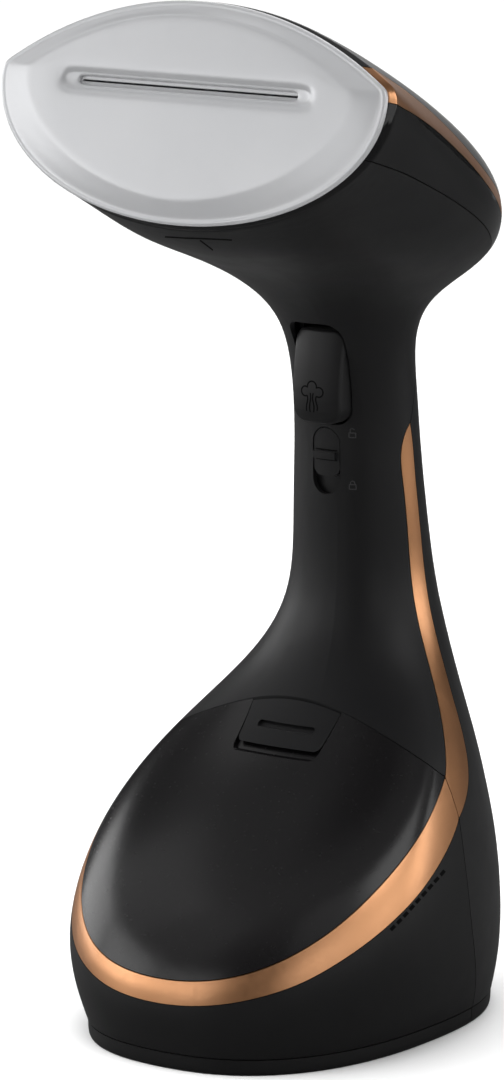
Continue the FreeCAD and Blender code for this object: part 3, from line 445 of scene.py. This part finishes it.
def build_trigger():
    s = np.linspace(-1, 1, 49)
    us = np.sign(s) * (1 - (1 - np.abs(s)) ** 1.9)
    a = np.linspace(0, 1, 34)
    lowz = TB + 9.0 * a ** 2.0
    highz = TT - 7.0 * a[::-1] ** 2.0
    midz = np.linspace(TB + 9.0, TT - 7.0, 24)[1:-1]
    zs = np.concatenate([lowz, midz, highz])
    verts, nu, nz = [], len(us), len(zs)
    for z in zs:
        w = trig_half(z)
        for u in us:
            verts.append((u * w, trig_y(u * w, z), z))
    faces = []
    for j in range(nz - 1):
        for i in range(nu - 1):
            k = j * nu + i
            faces.append((k, k + 1, k + nu + 1, k + nu))
    rim = ([i for i in range(nu)] + [j * nu + nu - 1 for j in range(1, nz)]
           + [(nz - 1) * nu + i for i in range(nu - 2, -1, -1)] + [j * nu for j in range(nz - 2, 0, -1)])
    prev = rim
    for back in (-20.0, -17.0, -14.6):
        ring = []
        for k in rim:
            x, y, z = verts[k]
            ring.append(len(verts))
            verts.append((x, max(back, y + 0.1), z))
        for m in range(len(rim)):
            q = (m + 1) % len(rim)
            faces.append((prev[m], ring[m], ring[q], prev[q]))
        prev = ring
    faces.append(tuple(prev))
    vs = [((x) * MM, (y + Y_SHIFT) * MM, (z + Z_SHIFT) * MM) for x, y, z in verts]
    ob = new_object("trigger_cap", vs, faces, MATERIALS["matte_black"], "trigger_body")
    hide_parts("trigger")
    return ob


trigger = build_trigger()


# ------------------------------------------------------------------ moulded symbols
def ribbon(name, strokes, surface, mat, body, width=0.42, lift=0.07):
    """flat-topped raised lines; strokes are lists of (x, z) mm, surface gives (point, normal) in metres"""
    verts, faces = [], []
    for st in strokes:
        pts = [np.array(p, float) for p in st]
        rows = []
        for k, p in enumerate(pts):
            a, b = pts[max(k - 1, 0)], pts[min(k + 1, len(pts) - 1)]
            t = (b - a) / (np.linalg.norm(b - a) + 1e-9)
            nrm = np.array((-t[1], t[0]))
            row = []
            for off, up in ((-0.5, -0.4), (-0.5, 0.6), (-0.34, 1.0), (0.34, 1.0), (0.5, 0.6), (0.5, -0.4)):
                q = p + nrm * off * width
                hit, n = surface(q[0], q[1])
                row.append(len(verts))
                verts.append(hit + n * (lift * up * MM))
            rows.append(row)
        for a, b in zip(rows, rows[1:]):
            for i in range(5):
                faces.append((a[i], a[i + 1], b[i + 1], b[i]))
            faces.append((a[5], a[0], b[0], b[5]))
        faces.append(tuple(rows[0][::-1]))
        faces.append(tuple(rows[-1]))
    return new_object(name, verts, faces, mat, body, smooth=False)


def node_surface(ob):
    """hit the outside of a piece from the front, for points given as working (x, z) in mm"""
    me = ob.data
    mw = ob.matrix_world
    tree = BVHTree.FromPolygons([mw @ v.co for v in me.vertices], [tuple(p.vertices) for p in me.polygons])

    def f(x, z):
        hit = tree.ray_cast(Vector((x * MM, -0.3, (z + Z_SHIFT) * MM)), Vector((0, 1, 0)))
        n = hit[1]
        if n.y > 0:
            n = -n
        return hit[0].copy(), n.copy()
    return f


def arc(cx, cz, r, a0, a1, n=14, rz=None):
    rz = r if rz is None else rz
    return [(cx + r * math.cos(math.radians(a0 + (a1 - a0) * k / n)), cz + rz * math.sin(math.radians(a0 + (a1 - a0) * k / n)))
            for k in range(n + 1)]


def wavy(x0, z0, x1, z1, amp, waves, n=22):
    out = []
    for k in range(n + 1):
        t = k / n
        out.append((x0 + (x1 - x0) * t + amp * math.sin(2 * math.pi * waves * t) * (1 - 0.3 * t), z0 + (z1 - z0) * t))
    return out


cx, cz = -0.5, 223.9
cloud = [arc(cx - 2.9, cz + 0.2, 1.75, 300, 60, 22)]
cloud.append(arc(cx, cz + 2.0, 1.95, 195, -15, 22))
cloud.append(arc(cx + 2.95, cz + 0.2, 1.75, 125, -120, 22))
jets = [wavy(cx - 1.9, cz - 1.3, cx - 2.3, cz - 7.0, 0.28, 1.0), wavy(cx - 0.65, cz - 0.3, cx - 0.8, cz - 7.2, 0.28, 1.0),
        wavy(cx + 0.65, cz - 0.3, cx + 0.75, cz - 7.2, -0.28, 1.0), wavy(cx + 1.95, cz - 1.3, cx + 2.2, cz - 6.6, -0.28, 1.0)]
trig_surf = node_surface(trigger)
# the steam symbol's engraved outline is drawn as raised near-black lines: painted shade of the engraving
ribbon("steam_symbol", cloud + jets, trig_surf, MATERIALS["painted_shade_line"], "trigger_body", 0.50, 0.06)


def padlock(x, z, open_):
    body = [(x - 1.15, z - 1.5), (x + 1.15, z - 1.5), (x + 1.15, z + 0.2), (x - 1.15, z + 0.2), (x - 1.15, z - 1.5)]
    body = [p for a, b in zip(body, body[1:]) for p in [(a[0] + (b[0] - a[0]) * k / 5, a[1] + (b[1] - a[1]) * k / 5) for k in range(5)]] + [body[-1]]
    dx = 0.75 if open_ else 0.0
    loop = [(x - 0.72 + dx * 0.0, z + 0.25)] + arc(x, z + 0.75 + (0.35 if open_ else 0), 0.72, 180, 0 if not open_ else 20, 12)
    if not open_:
        loop.append((x + 0.72, z + 0.25))
    return [body, loop]


hous = node_surface(NODES["front_housing"])
ribbon("lock_symbols", padlock(10.3, 208.6, True) + padlock(10.3, 189.8, False), hous, MATERIALS["printed_grey"],
       "main_body", 0.28, 0.05)


slid = node_surface(NODES["lock_slider"])
# two near-black lines stand in for the shaded edges of the slider's ridge: painted shade
ridge_lines = [[(-4.6 + 9.2 * k / 24, z) for k in range(25)] for z in (201.9, 198.3)]
ribbon("slider_lines", ridge_lines, slid, MATERIALS["painted_shade_line"], "slider_body", 0.42, 0.05)


SIGHT_B = Vector((math.sin(math.radians(35)) * math.cos(math.radians(11.3)),
                  -math.cos(math.radians(35)) * math.cos(math.radians(11.3)), math.sin(math.radians(11.3))))
SIGHT_R = Vector((math.cos(math.radians(35)), math.sin(math.radians(35)), 0.0))
SIGHT_U = SIGHT_B.cross(SIGHT_R)
SIGHT_O = Vector((0.0, (-63.8 + Y_SHIFT) * MM, 0.1765 + Z_SHIFT * MM))


def side_surface(ob):
    """hit the outside of a piece from the front right, for points given across that direction in mm"""
    me, mw = ob.data, ob.matrix_world
    tree = BVHTree.FromPolygons([mw @ v.co for v in me.vertices], [tuple(p.vertices) for p in me.polygons])

    def f(u, v):
        hit = tree.ray_cast(SIGHT_O + SIGHT_R * (u * MM) + SIGHT_U * (v * MM) + SIGHT_B * 0.5, -SIGHT_B)
        n = hit[1]
        if n.dot(SIGHT_B) < 0:
            n = -n
        return hit[0].copy(), n.copy()
    return f


def spread(pts, n):
    """n points evenly along a polyline"""
    d = np.concatenate([[0.0], np.cumsum([math.dist(p, q) for p, q in zip(pts, pts[1:])])])
    t = np.linspace(0, d[-1], n)
    return list(zip(np.interp(t, d, [p[0] for p in pts]), np.interp(t, d, [p[1] for p in pts])))


# the accessory slits are near-black raised strips on the surface: painted shade in place of cut slits
ribbon("accessory_slits", [spread([(-29.9, 104.1), (-22.9, 103.3), (-6.8, 102.1)], 24), spread([(-17.8, 102.4), (-13.4, 99.4)], 8)],
       side_surface(NODES["front_housing"]), MATERIALS["painted_shade_line"], "main_body", 0.40, 0.05)
# a row of near-black dashes on the tank skirt, drawn in the painted-shade line material
row = spread([(48.0, -136.0), (53.4, -130.8), (58.5, -125.5), (63.5, -120.6), (68.3, -115.9)], 82)
dashes = [row[9 * k + 1:9 * k + 8] for k in range(9)]
ribbon("side_dashes", dashes, side_surface(NODES["tank_skirt"]), MATERIALS["painted_shade_line"], "water_tank", 1.3, 0.05)


# ------------------------------------------------------------------ floor, light, camera
def studio():
    sc = bpy.context.scene
    sc.view_settings.view_transform = "Standard"
    me = bpy.data.meshes.new("floor")
    n, half = 24, 12.0
    vs = [(-half + 2 * half * i / n, -half + 2 * half * j / n, 0.0) for j in range(n + 1) for i in range(n + 1)]
    fs = [(j * (n + 1) + i, j * (n + 1) + i + 1, (j + 1) * (n + 1) + i + 1, (j + 1) * (n + 1) + i)
          for j in range(n) for i in range(n)]
    me.from_pydata(vs, [], fs)
    fl = bpy.data.objects.new("floor", me)
    sc.collection.objects.link(fl)
    m = Mat("floor_pale_dark_in_reflections")
    m.set(spec=0.2, rough=0.6)
    pale = m.ramp(m.noise(3.0, 2.0), [(0.3, (0.915, 0.915, 0.915)), (0.7, (0.925, 0.925, 0.925))])
    # glossy rays see the floor at 0.07 instead of pale: painted shade in the floor's reflections on the object
    ray = m.node("ShaderNodeLightPath")
    mix = m.node("ShaderNodeMix")
    mix.data_type = "RGBA"
    m.link(ray.outputs["Is Glossy Ray"], mix.inputs[0])
    m.link(pale, mix.inputs[6])
    mix.inputs[7].default_value = (0.07, 0.07, 0.07, 1.0)
    m.colour(mix.outputs[2])
    me.materials.append(m.m)

    w = bpy.data.worlds.new("studio")
    sc.world = w
    w.use_nodes = True
    t = w.node_tree
    bg = next(x for x in t.nodes if x.type == "BACKGROUND")
    geo = t.nodes.new("ShaderNodeTexCoord")
    sep = t.nodes.new("ShaderNodeSeparateXYZ")
    t.links.new(geo.outputs["Generated"], sep.inputs[0])
    mr = t.nodes.new("ShaderNodeMapRange")
    mr.inputs["From Min"].default_value = 0.0
    mr.inputs["From Max"].default_value = 0.95
    mr.inputs["To Min"].default_value = 0.03
    mr.inputs["To Max"].default_value = 0.06
    t.links.new(sep.outputs["Z"], mr.inputs["Value"])
    lp = t.nodes.new("ShaderNodeLightPath")
    mx = t.nodes.new("ShaderNodeMix")
    mx.data_type = "FLOAT"
    t.links.new(lp.outputs["Is Camera Ray"], mx.inputs[0])
    t.links.new(mr.outputs["Result"], mx.inputs[2])
    mx.inputs[3].default_value = 0.94
    t.links.new(mx.outputs[0], bg.inputs["Strength"])
    bg.inputs["Color"].default_value = (1, 1, 1, 1)

    def area(name, loc, target, size, size_y, power, glossy=True, spread=math.pi):
        l = bpy.data.lights.new(name, "AREA")
        l.shape = "RECTANGLE"
        l.size, l.size_y = size, size_y
        l.energy = power
        l.spread = spread
        o = bpy.data.objects.new(name, l)
        o.location = loc
        d = Vector(target) - Vector(loc)
        o.rotation_euler = d.to_track_quat("-Z", "Y").to_euler()
        o.visible_glossy = glossy
        o.visible_camera = False
        sc.collection.objects.link(o)
        return o

    sun = bpy.data.lights.new("overhead", "SUN")
    sun.energy = 3.8
    sun.angle = math.radians(70)
    so = bpy.data.objects.new("overhead", sun)
    so.rotation_euler = (math.radians(8), math.radians(-6), 0)
    so.visible_glossy = False
    sc.collection.objects.link(so)

    def place(az, el, d):
        a, e = math.radians(az), math.radians(el)
        return (d * math.cos(e) * math.cos(a), d * math.cos(e) * math.sin(a), 0.12 + d * math.sin(e))

    area("key_left", place(-135, 3, 2.3), (0, 0, 0.30), 1.0, 0.8, 7.5, glossy=False)
    for az, el, power in ((118, 42, 5.6), (-2, 42, 5.0), (-144, 12, 5.0), (-108, 12, 2.9), (36, 12, 4.0), (0, 12, 2.8),
                          (180, 12, 5.6), (-36, 12, 2.4), (-162, 42, 1.1), (108, 12, 0.4), (135, 72, 0.9), (-42, 42, 0.9),
                          (38, 42, 0.7), (-122, 42, 0.6)):
        area("box_%d_%d" % (az, el), place(az, el, 1.7), (0, 0, 0.14), 0.95, 0.75, power)

    th, e0, dist, tgt = math.radians(35.0), math.radians(11.3), 1.9, Vector((0.0, (-63.8 + Y_SHIFT) * MM, 0.1765 + Z_SHIFT * MM))
    back = Vector((math.sin(th) * math.cos(e0), -math.cos(th) * math.cos(e0), math.sin(e0)))
    cd = bpy.data.cameras.new("camera")
    cam = bpy.data.objects.new("camera", cd)
    sc.collection.objects.link(cam)
    cd.sensor_width = 36.0
    cd.sensor_fit = "AUTO"
    cd.lens = 5397.7 / 1080 * 36.0
    cd.clip_start, cd.clip_end = 0.1, 60.0
    cam.location = tgt + back * dist
    cam.rotation_mode = "QUATERNION"
    cam.rotation_quaternion = (-back).to_track_quat("-Z", "Y")
    sc.camera = cam


studio()
